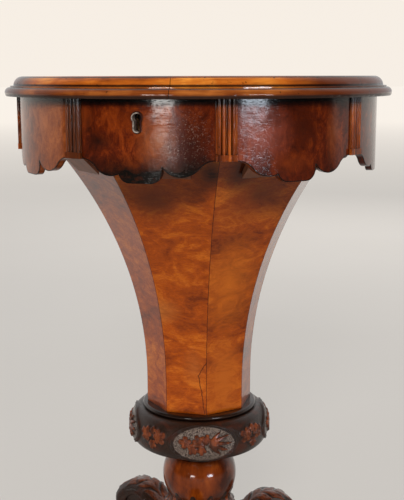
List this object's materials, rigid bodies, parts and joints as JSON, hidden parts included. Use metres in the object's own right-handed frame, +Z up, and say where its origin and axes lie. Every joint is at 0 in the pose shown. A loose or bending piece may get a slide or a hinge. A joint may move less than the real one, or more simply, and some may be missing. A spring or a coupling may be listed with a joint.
{
  "type": "work table",
  "caption": "Round sewing table with a hinged lid over a fitted box, a tapering eight-sided well, a carved collar and carved scroll legs.",
  "frame": {"origin": "on the floor below the middle of the lid", "axes": "+Z up; the keyhole faces -Y, the hinges are at +Y, and +X is to the right of a person facing the keyhole"},
  "size_m": [0.45, 0.45, 0.74],
  "materials": {
    "walnut": "glossy french polish",
    "burr_walnut": "glossy french polish",
    "carved_walnut": "waxed carving",
    "pine": "bare wood",
    "satinwood": "satin polish",
    "lining": "ribbed silk",
    "brass": "worn brass",
    "iron": "dark iron"
  },
  "bodies": {
    "table": {"carcass_hinge_leaf_left": "brass", "carcass_hinge_leaf_right": "brass", "carcass_hinge_screws": "brass", "hinge_pins": "iron", "carcass_ring": "pine", "bottom_board": "walnut", "glue_blocks": "pine", "frieze_panel_1": "walnut", "frieze_panel_2": "walnut", "frieze_panel_3": "walnut", "frieze_panel_4": "walnut", "frieze_panel_5": "walnut", "frieze_panel_6": "walnut", "frieze_panel_7": "walnut", "frieze_panel_8": "walnut", "pilaster_1": "walnut", "pilaster_2": "walnut", "pilaster_3": "walnut", "pilaster_4": "walnut", "pilaster_5": "walnut", "pilaster_6": "walnut", "pilaster_7": "walnut", "pilaster_8": "walnut", "well_wall": "satinwood", "compartment_dividers": "satinwood", "lock_case": "brass", "lock_screws": "brass", "escutcheon": "brass", "trumpet_stave_1": "burr_walnut", "trumpet_stave_2": "burr_walnut", "trumpet_stave_3": "burr_walnut", "trumpet_stave_4": "burr_walnut", "trumpet_stave_5": "burr_walnut", "trumpet_stave_6": "burr_walnut", "trumpet_stave_7": "burr_walnut", "trumpet_stave_8": "burr_walnut", "well_block": "pine", "well_floor": "lining", "trumpet_base_ring": "carved_walnut", "carved_collar": "carved_walnut", "turned_stem": "walnut", "leg_front": "carved_walnut", "leg_right": "carved_walnut", "leg_left": "carved_walnut", "leg_plate": "iron", "leg_plate_screws": "iron"},
    "lid": {"lid_board": "walnut", "lid_upper_moulding": "walnut", "lid_lower_moulding": "walnut", "lid_lining": "lining", "link_plate": "brass", "link_plate_screws": "brass", "lid_hinge_leaf_left": "brass", "lid_hinge_leaf_right": "brass", "lid_hinge_screws": "brass"},
    "bolt": {"lock_bolt": "iron"}
  },
  "joints": [
    {"name": "lid_hinge", "type": "hinge", "parent": "table", "child": "lid", "pos_m": [0, 0.212, 0.71795], "axis": [-1, 0, 0], "range_deg": [0, 100]},
    {"name": "lock_bolt_slide", "type": "slide", "parent": "table", "child": "bolt", "axis": [1, 0, 0], "range_m": [0, 0.006]}
  ]
}
